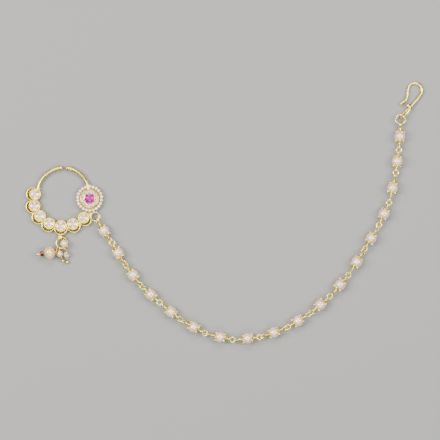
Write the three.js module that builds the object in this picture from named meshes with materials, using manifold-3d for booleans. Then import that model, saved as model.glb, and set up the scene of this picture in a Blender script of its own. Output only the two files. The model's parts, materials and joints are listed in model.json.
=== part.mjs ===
// A nath, a hoop nose ring with its pearl chain and hair hook, lying flat. Millimetres, +Z up.

import * as THREE from 'three'
import { mergeVertices } from 'three/addons/utils/BufferGeometryUtils.js'
import Module from 'manifold-3d'

const wasm = await Module()
wasm.setup()

// Driving dimensions

const hoopX = -72.9
const hoopY = 8.64
const hoopRadius = 11.57
const hoopWire = 1.35
const hoopHeight = 1.6
const leftTipAngle = 97.6
const leftFootAngle = 172
const rightTipAngle = 77
const rightFootAngle = 8
const collarRadius = 1.15
const collarLength = 2.1
const pinPointLength = 0.75

const plateFloor = 0.7
const plateRimTop = 2.1
const plateRimWidth = 0.45
const scallopRadius = 3.1
const scallopOffset = 1.0
const bridgeRadius = 1.9
const bridgeX = -61.1
const bridgeY = 0.1
const bezelRadius = 2.8
const bezelBore = 2.1
const bezelHeight = 2.8
const bezelSeat = 1.5

const rosetteX = -61.02
const rosetteY = 6.39
const rosetteBackRadius = 5.9
const rosetteBackTop = 1.0
const rosetteHollow = 3.6
const cupRadius = 4.28
const cupBore = 3.9
const cupTop = 3.3
const cupFloor = 2.0
const colletRadius = 2.55
const colletBore = 2.3
const colletTop = 3.5
const seedCircle = 5.4
const seedRadius = 0.78
const seedHeight = 2.0
const seedCount = 21
const seedWaist = 0.55
const seedGapAngle = 99
const seedGap = 21
const accentCount = 13
const accentNotch = 2.6
const accentTop = 3.2

const stoneRadius = 1.95
const stoneGirdle = 2.5
const rubyRadius = 2.1
const rubyGirdle = 3.45

const pearlRadius = 2.475
const pearlHole = 0.62
const pinWire = 0.6
const shankRadius = 0.38
const loopRadius = 1.15
const loopSteps = 9
const linkPlay = 0.3
const capGap = 0.14
const capThickness = 0.41
const petals = 5
const petalAngle = 38
const notchAngle = 26

const chainRingX = -58.55
const chainRingY = -1.76
const chainRingHeight = 2.4
const chainRingRadius = 1.93
const chainRingWire = 0.63
const chainPostX = -60.53
const chainPostY = -0.79
const chainPostRadius = 0.7

const hookRingX = 78.89
const hookRingY = 41.94
const hookRingRadius = 2.16
const hookRingWire = 0.72
const hookRingTilt = 10
const hookRingHeight = 2.0
const hookWire = 1.08
const hookArcX = 85.45
const hookArcY = 55.2
const hookArcRadius = 3.15
const hookTopHeight = 0.56
const hookRise = 0.085
const hookTailRadius = 0.72
const hookTailLength = 2.4
const hookTailAngle = 133
const eyeWire = 0.9
const eyeHalfWidth = 1.22
const eyeLean = 64

const dropX = -73.5
const dropY = -13.55
const dropRingRadius = 2.48
const dropRingWire = 0.65
const dropRingHeight = 1.6
const dropRingRise = 0.3
const dropRingHighSide = 235
const bailX = -74.2
const bailY = -11.15
const bailHeight = 1.45
const bailRadius = 1.42
const bailLength = 2.0
const bailBore = 0.88
const bailBoreShift = -0.34
const dropWire = 0.5
const dropLoopRadius = 0.86
const dropLoopSteps = 9

// The round stones along the lower arc: angle round the hoop in degrees, and distance from its centre
const settings = [
  { angle: 181.4, radius: 12.6 },
  { angle: 203.3, radius: 14.0 },
  { angle: 224.1, radius: 14.5 },
  { angle: 245.0, radius: 14.8 },
  { angle: 266.2, radius: 14.65 },
  { angle: 288.0, radius: 14.4 },
  { angle: 310.2, radius: 14.25 }
]

// The chain's pearls from the ring to the hook: centre, and how far each end loop rolls from flat
const chainPearls = [
  { x: -55.0, y: -8.2, headRoll: 60, tailRoll: 60 },
  { x: -48.0, y: -17.9, headRoll: -15, tailRoll: 40 },
  { x: -41.9, y: -28.2, headRoll: -35, tailRoll: 40 },
  { x: -33.2, y: -36.8, headRoll: -35, tailRoll: 0 },
  { x: -24.4, y: -44.6, headRoll: 90, tailRoll: 10 },
  { x: -14.3, y: -51.4, headRoll: -65, tailRoll: 5 },
  { x: -2.3, y: -56.1, headRoll: 80, tailRoll: 10 },
  { x: 10.2, y: -56.6, headRoll: 95, tailRoll: -20 },
  { x: 21.8, y: -53.7, headRoll: 55, tailRoll: 50 },
  { x: 32.9, y: -48.8, headRoll: -25, tailRoll: 40 },
  { x: 42.6, y: -41.3, headRoll: -40, tailRoll: 5 },
  { x: 52.0, y: -32.5, headRoll: 80, tailRoll: 10 },
  { x: 59.1, y: -22.2, headRoll: 90, tailRoll: 40 },
  { x: 65.6, y: -11.4, headRoll: -40, tailRoll: 60 },
  { x: 71.6, y: -0.6, headRoll: -15, tailRoll: 0 },
  { x: 75.4, y: 11.2, headRoll: 85, tailRoll: 75 },
  { x: 77.3, y: 23.1, headRoll: 0, tailRoll: 0 },
  { x: 79.1, y: 34.5, headRoll: 90, tailRoll: 80 }
]

// The hook's wire before its round bend, from the neck, and after it, down to the point
const hookShank = [
  { x: 83.0, y: 46.8 },
  { x: 84.7, y: 49.0 },
  { x: 87.0, y: 52.2 }
]
const hookPoint = [
  { x: 82.05, y: 53.0 },
  { x: 81.5, y: 51.1 },
  { x: 80.5, y: 49.9 },
  { x: 79.1, y: 49.0 }
]

// Materials

const gold = new THREE.MeshStandardMaterial({ color: 0xd9bd6c, roughness: 0.25, metalness: 1.0 })
const pearl = new THREE.MeshStandardMaterial({ color: 0xe9dcd3, roughness: 0.22, metalness: 0.0 })
const creamPearl = new THREE.MeshStandardMaterial({ color: 0xead9b8, roughness: 0.22, metalness: 0.0 })
const seedPearl = new THREE.MeshStandardMaterial({ color: 0xefd9c0, roughness: 0.3, metalness: 0.0 })
const whiteStone = new THREE.MeshStandardMaterial({ color: 0xf0e2ea, roughness: 0.05, metalness: 0.0 })
const ruby = new THREE.MeshStandardMaterial({ color: 0xd3279f, roughness: 0.05, metalness: 0.0 })
const garnet = new THREE.MeshStandardMaterial({ color: 0x4a0a08, roughness: 0.08, metalness: 0.0 })
const oliveBead = new THREE.MeshStandardMaterial({ color: 0x5f6a35, roughness: 0.1, metalness: 0.0 })
const crystal = new THREE.MeshStandardMaterial({ color: 0xb9b48a, roughness: 0.06, metalness: 0.0 })

// Small helpers

const radians = THREE.MathUtils.degToRad

function polar(centreX, centreY, radius, angle) {
  const x = centreX + radius * Math.cos(radians(angle))
  const y = centreY + radius * Math.sin(radians(angle))
  return new THREE.Vector3(x, y, 0)
}

// Merges a geometry's shared corners and turns its faces outwards
function closed(geometry) {
  const bare = new THREE.BufferGeometry()
  bare.setAttribute('position', geometry.getAttribute('position').clone())
  bare.setIndex(geometry.index)
  const merged = mergeVertices(bare, 1e-4)
  const at = merged.getAttribute('position')
  const corner = [new THREE.Vector3(), new THREE.Vector3(), new THREE.Vector3()]
  const faces = []
  let volume = 0
  for (let i = 0; i < merged.index.count; i += 3) {
    const ids = [0, 1, 2].map((k) => merged.index.getX(i + k))
    if (ids[0] === ids[1] || ids[1] === ids[2] || ids[0] === ids[2]) continue
    ids.forEach((id, k) => corner[k].fromBufferAttribute(at, id))
    volume += corner[0].dot(corner[1].cross(corner[2]))
    faces.push(ids)
  }
  if (volume < 0) faces.forEach((ids) => ids.reverse())
  merged.setIndex(faces.flat())
  return merged
}

function solid(geometry) {
  const whole = closed(geometry)
  const vertProperties = new Float32Array(whole.getAttribute('position').array)
  const triVerts = new Uint32Array(whole.index.array)
  return new wasm.Manifold(new wasm.Mesh({ numProp: 3, vertProperties, triVerts }))
}

function fuse(geometries) {
  return geometries.map(solid).reduce((all, one) => all.add(one))
}

function surface(body) {
  const mesh = body.getMesh()
  const geometry = new THREE.BufferGeometry()
  geometry.setAttribute('position', new THREE.BufferAttribute(mesh.vertProperties, 3))
  geometry.setIndex(new THREE.BufferAttribute(mesh.triVerts, 1))
  return geometry
}

// A named mesh with flat facets
function piece(name, geometry, material) {
  const facets = geometry.toNonIndexed()
  facets.computeVertexNormals()
  const mesh = new THREE.Mesh(facets, material)
  mesh.name = name
  return mesh
}

// A turned shape about Z, from rows of [radius, height]
function turned(rows, sides) {
  const profile = rows.map(([radius, height]) => new THREE.Vector2(radius, height))
  return new THREE.LatheGeometry(profile, sides).rotateX(Math.PI / 2)
}

// The same, lying along X
function turnedAlongX(rows, sides) {
  return turned(rows, sides).rotateY(Math.PI / 2)
}

function disc(radius, bottom, top, sides) {
  return turned([[0, bottom], [radius, bottom], [radius, top], [0, top]], sides)
}

// A round wire with flat ends along a row of points
function wire(points, diameter, steps, sides) {
  const section = new THREE.Shape()
  for (let i = 0; i < sides; i++) {
    const corner = polar(0, 0, diameter / 2, (i * 360) / sides)
    if (i === 0) section.moveTo(corner.x, corner.y)
    else section.lineTo(corner.x, corner.y)
  }
  const extrudePath = new THREE.CatmullRomCurve3(points)
  return new THREE.ExtrudeGeometry(section, { steps, extrudePath, bevelEnabled: false })
}

// A closed wire ring lying flat
function wireRing(radius, diameter, steps, sides) {
  return new THREE.TorusGeometry(radius, diameter / 2, sides, steps)
}

// A drilled bead along X, its ball cut off where the hole meets it
function drilledBead(across, along, hole, bands, sides) {
  const cut = Math.asin(hole / across)
  const rows = [[hole, -along * Math.cos(cut)]]
  for (let i = 1; i < bands; i++) {
    const angle = cut + ((Math.PI - 2 * cut) * i) / bands
    rows.push([across * Math.sin(angle), -along * Math.cos(angle)])
  }
  rows.push([hole, along * Math.cos(cut)])
  rows.push(rows[0])
  return turnedAlongX(rows, sides)
}

// A cut bead along X: flat bands of facets round its waist
function facetedBead(radius, halfLength, hole, sides) {
  const rows = [[hole, -halfLength], [radius * 0.62, -halfLength], [radius, -halfLength * 0.35]]
  rows.push([radius, halfLength * 0.35], [radius * 0.62, halfLength], [hole, halfLength], rows[0])
  return turnedAlongX(rows, sides)
}

// Rows along X of a thin domed cap over a ball at the origin, from its neck to its sharp rim and inside
function capRows(ballRadius, neckRadius) {
  const inner = ballRadius + capGap
  const outer = inner + capThickness
  const rim = [Math.sin(radians(petalAngle)) * inner, Math.cos(radians(petalAngle)) * inner]
  return [[neckRadius, outer], rim, [neckRadius, inner]]
}

// Draws every second corner of a cap's rim back along the ball, which leaves pointed petals
function cutPetals(geometry, ballRadius) {
  const at = geometry.getAttribute('position')
  const rimRadius = (ballRadius + capGap) * Math.sin(radians(petalAngle))
  for (let i = 0; i < at.count; i++) {
    const across = Math.hypot(at.getY(i), at.getZ(i))
    const turn = Math.atan2(at.getZ(i), at.getY(i)) / (Math.PI / petals)
    if (across < rimRadius - 0.05 || Math.round(turn) % 2 === 0) continue
    const radius = Math.hypot(across, at.getX(i))
    const drawn = (radius * Math.sin(radians(notchAngle))) / across
    const along = Math.sign(at.getX(i)) * radius * Math.cos(radians(notchAngle))
    at.setXYZ(i, along, at.getY(i) * drawn, at.getZ(i) * drawn)
  }
  return geometry
}

// A round cut stone on Z: table, crown, girdle and pavilion
function cutStone(girdleRadius, girdleHeight, crown, pavilion, sides) {
  const rows = [[0, girdleHeight - pavilion]]
  rows.push([girdleRadius, girdleHeight - 0.08], [girdleRadius, girdleHeight + 0.08])
  rows.push([girdleRadius * 0.58, girdleHeight + crown], [0, girdleHeight + crown])
  return turned(rows, sides)
}

// The nath's soldered metal

function settingCentres() {
  return settings.map(({ angle, radius }) => polar(hoopX, hoopY, radius, angle))
}

function scallopCentres() {
  return settings.map(({ angle, radius }) => polar(hoopX, hoopY, radius + scallopOffset, angle))
}

// The back plate: overlapping scallops with a raised rim along the outline
function scallopedPlate() {
  const bridge = disc(bridgeRadius, 0, rosetteBackTop, 12).translate(bridgeX, bridgeY, 0)
  const outer = [bridge]
  const inner = []
  for (const { x, y } of scallopCentres()) {
    outer.push(disc(scallopRadius, 0, plateRimTop, 12).translate(x, y, 0))
    const well = disc(scallopRadius - plateRimWidth, plateFloor, plateRimTop + 1, 12)
    inner.push(well.translate(x, y, 0))
  }
  return fuse(outer).subtract(fuse(inner))
}

function bezelCup() {
  const rows = [[0, 0], [bezelRadius - 0.1, 0], [bezelRadius, bezelHeight]]
  rows.push([bezelBore + 0.2, bezelHeight], [bezelBore, bezelSeat], [0, bezelSeat])
  return turned(rows, 12)
}

// Back, cup and collet of the rosette in one turned shape, hollow underneath
function rosetteBody() {
  const rows = [[0, 1.0], [rosetteHollow, 1.0], [rosetteHollow, 0], [rosetteBackRadius, 0]]
  rows.push([rosetteBackRadius, rosetteBackTop], [cupRadius, rosetteBackTop], [cupRadius, cupTop])
  rows.push([cupBore, cupTop], [cupBore, cupFloor], [colletRadius, cupFloor], [colletRadius, colletTop])
  rows.push([colletBore, colletTop], [colletBore, cupFloor + 0.3], [0, cupFloor + 0.3])
  return turned(rows, 16).translate(rosetteX, rosetteY, 0)
}

function hoopArc(fromAngle, toAngle, steps) {
  const points = []
  for (let i = 0; i <= steps; i++) {
    const angle = fromAngle + ((toAngle - fromAngle) * i) / steps
    const at = polar(hoopX, hoopY, hoopRadius, angle)
    points.push(at.setZ(hoopHeight))
  }
  return wire(points, hoopWire, steps, 6)
}

// A ribbed collar on a wire end, turned along the hoop there
function hoopCollar(angle, pointed) {
  const half = collarLength / 2
  const rows = [[0, -half], [collarRadius, -half], [collarRadius, -0.35], [collarRadius * 0.8, 0]]
  rows.push([collarRadius, 0.35], [collarRadius, half])
  if (pointed) rows.push([0, half + pinPointLength])
  else rows.push([0, half])
  const at = polar(hoopX, hoopY, hoopRadius, angle)
  const facing = pointed ? angle + 90 : angle - 90
  return turnedAlongX(rows, 8).rotateZ(radians(facing)).translate(at.x, at.y, hoopHeight)
}

// A short tube under the middle stone, its bore set off centre towards the drops
function dropBail() {
  const half = bailLength / 2
  const shell = disc(bailRadius, -half, half, 10).rotateY(Math.PI / 2)
  const bore = disc(bailBore, -bailLength, bailLength, 12).rotateY(Math.PI / 2)
  const tube = solid(shell).subtract(solid(bore.translate(0, bailBoreShift, 0)))
  return tube.translate(bailX, bailY, bailHeight)
}

function nathFrame() {
  const cups = settingCentres().map(({ x, y }) => bezelCup().translate(x, y, 0))
  const chainRing = wireRing(chainRingRadius, chainRingWire, 12, 5)
  const parts = [
    ...cups,
    rosetteBody(),
    disc(chainPostRadius, 0, chainRingHeight + 0.1, 8).translate(chainPostX, chainPostY, 0),
    hoopArc(leftTipAngle, leftFootAngle, 8),
    hoopArc(rightTipAngle, rightFootAngle, 8),
    hoopCollar(leftTipAngle, false),
    hoopCollar(rightTipAngle, true),
    chainRing.translate(chainRingX, chainRingY, chainRingHeight)
  ]
  return piece('nath_frame', surface(fuse(parts).add(scallopedPlate()).add(dropBail())), gold)
}

// Stones and seed pearls

function whiteStones() {
  return settingCentres().map(({ x, y }, i) => {
    const cut = closed(cutStone(stoneRadius, stoneGirdle, 0.5, 0.8, 8))
    const stone = piece('white_stone_' + (i + 1), cut, whiteStone)
    stone.position.set(x, y, 0)
    return stone
  })
}

function centreRuby() {
  const stone = piece('centre_ruby', closed(cutStone(rubyRadius, rubyGirdle, 0.75, 0.95, 12)), ruby)
  stone.position.set(rosetteX, rosetteY, 0)
  return stone
}

function accentStones() {
  const rows = [[2.7, 2.2], [3.78, 2.2], [3.78, 2.85], [3.45, accentTop], [3.0, accentTop], [2.7, 2.85]]
  rows.push(rows[0])
  const ring = turned(rows, accentCount * 2)
  const at = ring.getAttribute('position')
  for (let i = 0; i < at.count; i++) {
    const turn = (Math.atan2(at.getY(i), at.getX(i)) + Math.PI / 2) / (Math.PI / accentCount)
    if (Math.round(turn) % 2 === 0 || at.getZ(i) < accentNotch) continue
    at.setZ(i, accentNotch)
  }
  const mesh = piece('accent_stones', closed(ring), whiteStone)
  mesh.position.set(rosetteX, rosetteY, 0)
  return mesh
}

// The string of seed pearls: one tube that swells at each pearl, open where the hoop comes in
function seedPearls() {
  const pitch = (360 - seedGap) / seedCount
  const steps = seedCount * 2
  const start = seedGapAngle + seedGap / 2
  const course = []
  for (let i = 0; i <= steps; i++) {
    const at = polar(0, 0, seedCircle, start + (pitch * i) / 2)
    course.push(at.setZ(seedHeight))
  }
  const string = wire(course, seedRadius * 2, steps, 6)
  const at = string.getAttribute('position')
  for (let i = 0; i < at.count; i++) {
    const angle = THREE.MathUtils.radToDeg(Math.atan2(at.getY(i), at.getX(i)))
    const half = THREE.MathUtils.euclideanModulo(angle - start + pitch / 4, 360) / (pitch / 2)
    if (Math.floor(half) % 2 === 1) continue
    const centre = polar(0, 0, seedCircle, start + (Math.floor(half) * pitch) / 2).setZ(seedHeight)
    const corner = new THREE.Vector3().fromBufferAttribute(at, i).sub(centre)
    centre.addScaledVector(corner, seedWaist)
    at.setXYZ(i, centre.x, centre.y, centre.z)
  }
  const mesh = piece('seed_pearl_ring', closed(string), seedPearl)
  mesh.position.set(rosetteX, rosetteY, 0)
  return mesh
}

// The chain

// Where two neighbouring loops meet, from the chain ring to the hook ring. Each lies a little outside
// the line between two pearls, as far as the chain bends there.
function chainJoints() {
  const centres = chainPearls.map(({ x, y }) => new THREE.Vector3(x, y, 0))
  const last = centres.length - 1
  const bends = centres.map((centre, i) => {
    const inside = THREE.MathUtils.clamp(i, 1, last - 1)
    const sum = centres[inside - 1].clone().add(centres[inside + 1])
    return sum.addScaledVector(centres[inside], -2)
  })
  const chainRing = new THREE.Vector3(chainRingX, chainRingY, 0)
  const hookRing = new THREE.Vector3(hookRingX, hookRingY, 0)
  const joints = [alongFrom(chainRing, centres[0], chainRingRadius)]
  for (let i = 1; i <= last; i++) {
    const joint = centres[i - 1].clone().lerp(centres[i], 0.5)
    joints.push(joint.addScaledVector(bends[i - 1], -1 / 8).addScaledVector(bends[i], -1 / 8))
  }
  joints.push(alongFrom(hookRing, centres[last], hookRingRadius))
  return joints
}

function alongFrom(start, towards, distance) {
  return start.clone().add(towards.clone().sub(start).setLength(distance))
}

// Rows of one half of a chain pin, from the end of its shank to the inside of its cap
function pinHalf(shankEnd) {
  return [[0, shankEnd], [shankRadius, shankEnd], ...capRows(pearlRadius, shankRadius)]
}

// A gold pin along X: a shank with a petalled cap at each side of the pearl, and a loop at each end
function chainPin(headReach, tailReach, headRoll, tailRoll) {
  const headLoop = headReach - loopRadius
  const tailLoop = tailReach - loopRadius
  const headHalf = pinHalf(headLoop - loopRadius).map(([radius, along]) => [radius, -along])
  const tailHalf = pinHalf(tailLoop - loopRadius).reverse()
  const body = turnedAlongX([...headHalf, ...tailHalf], petals * 2)
  const parts = [
    cutPetals(body, pearlRadius),
    wireRing(loopRadius, pinWire, loopSteps, 5).rotateX(radians(headRoll)).translate(-headLoop, 0, 0),
    wireRing(loopRadius, pinWire, loopSteps, 5).rotateX(radians(tailRoll)).translate(tailLoop, 0, 0)
  ]
  return surface(fuse(parts))
}

// One pearl on its pin, lying on the table between two joints
function chainUnit(row, i, joints) {
  const label = String(i + 1).padStart(2, '0')
  const start = joints[i]
  const end = joints[i + 1]
  const half = start.distanceTo(end) / 2
  const overlap = (pinWire + linkPlay) / 2
  const headReach = half + (i === 0 ? overlap * 2 : overlap)
  const tailReach = half + (i === chainPearls.length - 1 ? overlap * 2 : overlap)
  const ball = closed(drilledBead(pearlRadius, pearlRadius, pearlHole, 5, 10))
  const unit = new THREE.Group()
  unit.add(piece('chain_pearl_' + label, ball, pearl))
  unit.add(piece('chain_pin_' + label, chainPin(headReach, tailReach, row.headRoll, row.tailRoll), gold))
  unit.rotation.z = Math.atan2(end.y - start.y, end.x - start.x)
  unit.position.copy(start).lerp(end, 0.5).setZ(pearlRadius)
  return unit
}

function pearlChain() {
  const chain = new THREE.Group()
  const joints = chainJoints()
  chainPearls.forEach((row, i) => chain.add(chainUnit(row, i, joints)))
  return chain
}

// The hook and its ring

// The bent wire lies in a plane that rises a little from its top bend towards the eye
function onHookPlane(x, y) {
  const top = hookArcY + hookArcRadius
  return new THREE.Vector3(x, y, hookTopHeight + hookRise * (top - y))
}

function hairHook() {
  const course = hookShank.map(({ x, y }) => onHookPlane(x, y))
  for (let angle = -12; angle <= 172; angle += 23) {
    const at = polar(hookArcX, hookArcY, hookArcRadius, angle)
    course.push(onHookPlane(at.x, at.y))
  }
  course.push(...hookPoint.map(({ x, y }) => onHookPlane(x, y)))
  const neck = onHookPlane(83.3, 47.2)
  const rows = [[0, 0], [hookTailRadius, 0], [hookTailRadius, hookTailLength], [0, hookTailLength]]
  const tail = turnedAlongX(rows, 6).translate(-0.3, 0, 0).rotateZ(radians(hookTailAngle))
  const parts = [
    wire(course, hookWire, 20, 6),
    hookEye(neck),
    tail.translate(neck.x, neck.y, neck.z + 0.25)
  ]
  return piece('hair_hook', surface(fuse(parts)), gold)
}

// The eye below the neck: a long closed loop through the hook ring, leaning between flat and upright
function hookEye(neck) {
  const lean = radians(eyeLean)
  const end = new THREE.Vector3(79.35, 42.8, 1.58)
  const along = end.clone().sub(neck)
  const length = along.length()
  along.normalize()
  const across = new THREE.Vector3(-along.y, along.x, 0).normalize().multiplyScalar(Math.cos(lean))
  across.z = Math.sin(lean)
  const rows = [[0, 0], [0.3, 0.75], [0.68, 1], [0.88, 0.85], [1, 0]]
  rows.push([0.88, -0.85], [0.68, -1], [0.3, -0.75])
  const points = rows.map(([share, side]) => {
    const at = neck.clone().addScaledVector(along, share * length)
    return at.addScaledVector(across, side * eyeHalfWidth)
  })
  const course = new THREE.CatmullRomCurve3(points, true, 'centripetal')
  return new THREE.TubeGeometry(course, 14, eyeWire / 2, 5, true)
}

function hookRing() {
  const ring = piece('hook_ring', closed(wireRing(hookRingRadius, hookRingWire, 12, 5)), gold)
  ring.rotation.x = -radians(hookRingTilt)
  ring.position.set(hookRingX, hookRingY, hookRingHeight)
  return ring
}

// The three drops, placed from the centre of their ring

// The ring leans: it is highest on the side where the big pearl holds it up
function dropRingAt(angle, out) {
  const rise = dropRingRise * Math.cos(radians(angle - dropRingHighSide))
  return polar(0, 0, dropRingRadius + out, angle).setZ(dropRingHeight + rise)
}

function dropRing() {
  const ring = piece('drop_ring', closed(wireRing(dropRingRadius, dropRingWire, 12, 5)), gold)
  const axis = polar(0, 0, 1, dropRingHighSide + 90)
  ring.quaternion.setFromAxisAngle(axis, -Math.asin(dropRingRise / dropRingRadius))
  ring.position.z = dropRingHeight
  return ring
}

function dropLoop(angle, out) {
  const at = dropRingAt(angle, out)
  const loop = wireRing(dropLoopRadius, dropWire, dropLoopSteps, 5).rotateX(Math.PI / 2)
  return loop.rotateZ(radians(angle)).translate(at.x, at.y, at.z)
}

function tipBall(radius, at) {
  return new THREE.SphereGeometry(radius, 10, 5).translate(at.x, at.y, at.z)
}

// Turns a piece that was made along X so that it points from one place towards another
function aimed(geometry, from, towards) {
  const along = towards.clone().sub(from).normalize()
  const turn = new THREE.Quaternion().setFromUnitVectors(new THREE.Vector3(1, 0, 0), along)
  return geometry.applyQuaternion(turn).translate(from.x, from.y, from.z)
}

function at3(x, y, z) {
  return new THREE.Vector3(x, y, z)
}

function bigPearlDrop() {
  const pearlAt = at3(-5.4, -4.45, 2.95)
  const garnetAt = at3(-8.9, -4.95, 2.9)
  const tipAt = at3(-10.55, -5.2, 2.88)
  const bend = [at3(-2.4, -2.45, 2.0), at3(-2.35, -3.3, 2.7), at3(-2.75, -4.0, 2.98)]
  const course = [...bend, at3(-3.7, -4.2, 2.98), pearlAt, garnetAt, tipAt]
  const pin = fuse([wire(course, dropWire, 10, 5), dropLoop(225, 0.1), tipBall(0.8, tipAt)])
  const ball = aimed(drilledBead(2.93, 2.5, 0.5, 7, 12), pearlAt, garnetAt)
  const bead = aimed(facetedBead(1.25, 0.78, 0.42, 8), garnetAt, tipAt)
  return [
    piece('drop_a_pin', surface(pin), gold),
    piece('drop_a_pearl', closed(ball), creamPearl),
    piece('drop_a_garnet', closed(bead), garnet)
  ]
}

function smallPearlDrop() {
  const pearlAt = at3(-0.95, -5.0, 1.62)
  const beadAt = at3(-0.12, -6.95, 1.4)
  const tipAt = at3(0.45, -8.1, 1.25)
  const course = [at3(-1.12, -3.15, 1.8), pearlAt, beadAt, tipAt]
  const pin = fuse([wire(course, dropWire, 6, 5), dropLoop(250, 0.1), tipBall(0.76, tipAt)])
  const pearlFoot = pearlAt.clone().add(at3(0.28, -0.96, -0.12))
  const ball = aimed(drilledBead(1.5, 1.5, 0.6, 5, 10), pearlAt, pearlFoot)
  const bead = aimed(facetedBead(0.72, 0.36, 0.42, 8), beadAt, tipAt)
  return [
    piece('drop_b_pin', surface(pin), gold),
    piece('drop_b_pearl', closed(ball), pearl),
    piece('drop_b_bead', closed(bead), oliveBead)
  ]
}

function crystalDrop() {
  const pearlAt = at3(1.1, -0.3, 3.15)
  const pearlFoot = at3(1.47, -1.96, 3.15)
  const crystalAt = at3(2.1, -5.2, 1.68)
  const stemAt = at3(2.24, -6.9, 1.22)
  const tipAt = at3(2.34, -8.75, 0.9)
  const ballRadius = 1.7
  const neck = [at3(1.35, 1.65, 2.1), at3(0.95, 1.85, 2.75), at3(0.73, 1.36, 3.05)]
  const course = [...neck, pearlAt, pearlFoot, at3(1.85, -3.6, 2.25), crystalAt, stemAt, tipAt]
  const rows = capRows(ballRadius, 0.2)
  const cap = cutPetals(turnedAlongX([...rows, rows[0]], petals * 2), ballRadius)
  const pin = fuse([
    wire(course, dropWire, 12, 5),
    dropLoop(50, -0.05),
    aimed(cap, pearlAt, pearlFoot),
    tipBall(0.86, tipAt)
  ])
  const ball = aimed(drilledBead(ballRadius, ballRadius, 0.5, 5, 10), pearlAt, pearlFoot)
  const bead = aimed(facetedBead(1.46, 1.3, 0.48, 10), crystalAt, stemAt)
  return [
    piece('drop_c_pin', surface(pin), gold),
    piece('drop_c_pearl', closed(ball), pearl),
    piece('drop_c_crystal', closed(bead), crystal)
  ]
}

function drops() {
  const cluster = new THREE.Group()
  cluster.add(dropRing(), ...bigPearlDrop(), ...smallPearlDrop(), ...crystalDrop())
  cluster.position.set(dropX, dropY, 0)
  return cluster
}

// The whole piece, moved so that the origin is at the bottom centre of its box

const nath = new THREE.Group()
nath.add(nathFrame(), ...whiteStones(), centreRuby(), accentStones(), seedPearls())
nath.add(pearlChain(), hookRing(), hairHook(), drops())

const model = new THREE.Group()
model.add(nath)
const extent = new THREE.Box3().setFromObject(model, true)
const middle = extent.getCenter(new THREE.Vector3())
nath.position.set(-middle.x, -middle.y, -extent.min.z)

export default model
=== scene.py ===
import json
import random

import bmesh
import bpy
from math import asin, atan2, cos, hypot, pi, radians, sin
from mathutils import Matrix, Vector

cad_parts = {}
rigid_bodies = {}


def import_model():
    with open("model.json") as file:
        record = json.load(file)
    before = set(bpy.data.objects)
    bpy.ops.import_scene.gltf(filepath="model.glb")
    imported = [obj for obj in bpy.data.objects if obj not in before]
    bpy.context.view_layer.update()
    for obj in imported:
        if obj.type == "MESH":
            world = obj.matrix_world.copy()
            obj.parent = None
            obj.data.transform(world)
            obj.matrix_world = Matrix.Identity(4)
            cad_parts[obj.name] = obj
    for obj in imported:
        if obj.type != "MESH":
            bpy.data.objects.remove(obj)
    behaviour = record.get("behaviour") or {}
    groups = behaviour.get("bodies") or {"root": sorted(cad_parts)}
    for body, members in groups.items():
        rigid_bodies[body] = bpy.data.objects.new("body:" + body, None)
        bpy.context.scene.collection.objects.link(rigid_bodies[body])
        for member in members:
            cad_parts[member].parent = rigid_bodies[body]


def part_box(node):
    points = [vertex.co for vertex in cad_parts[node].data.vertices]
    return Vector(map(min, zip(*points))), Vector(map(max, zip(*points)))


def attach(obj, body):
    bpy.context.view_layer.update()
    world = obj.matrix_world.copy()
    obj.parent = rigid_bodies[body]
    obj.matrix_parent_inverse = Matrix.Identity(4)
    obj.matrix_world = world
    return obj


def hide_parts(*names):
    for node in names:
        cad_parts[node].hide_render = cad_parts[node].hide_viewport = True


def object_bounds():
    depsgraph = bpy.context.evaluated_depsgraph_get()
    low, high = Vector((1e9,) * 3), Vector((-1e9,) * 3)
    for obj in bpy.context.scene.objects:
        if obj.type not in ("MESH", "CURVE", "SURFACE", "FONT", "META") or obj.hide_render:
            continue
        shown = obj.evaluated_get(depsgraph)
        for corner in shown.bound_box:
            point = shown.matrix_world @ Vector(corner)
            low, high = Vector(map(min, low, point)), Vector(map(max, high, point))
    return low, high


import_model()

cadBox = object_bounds()
mm = 0.001
turnX = Matrix.Rotation(pi / 2, 4, 'Y')  # stands a shape that was turned about Z along X

# The drawing that all places come from is in millimetres. The ruby tells where it lies in the frame.
rosette = {'x': -61.02, 'y': 6.39}
rubyLow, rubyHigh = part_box('centre_ruby')
drawing = (rubyLow + rubyHigh) / 2 - Vector((rosette['x'] * mm, rosette['y'] * mm, 0))
drawing.z = 0
random.seed(11)


# Shader maths

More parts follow.
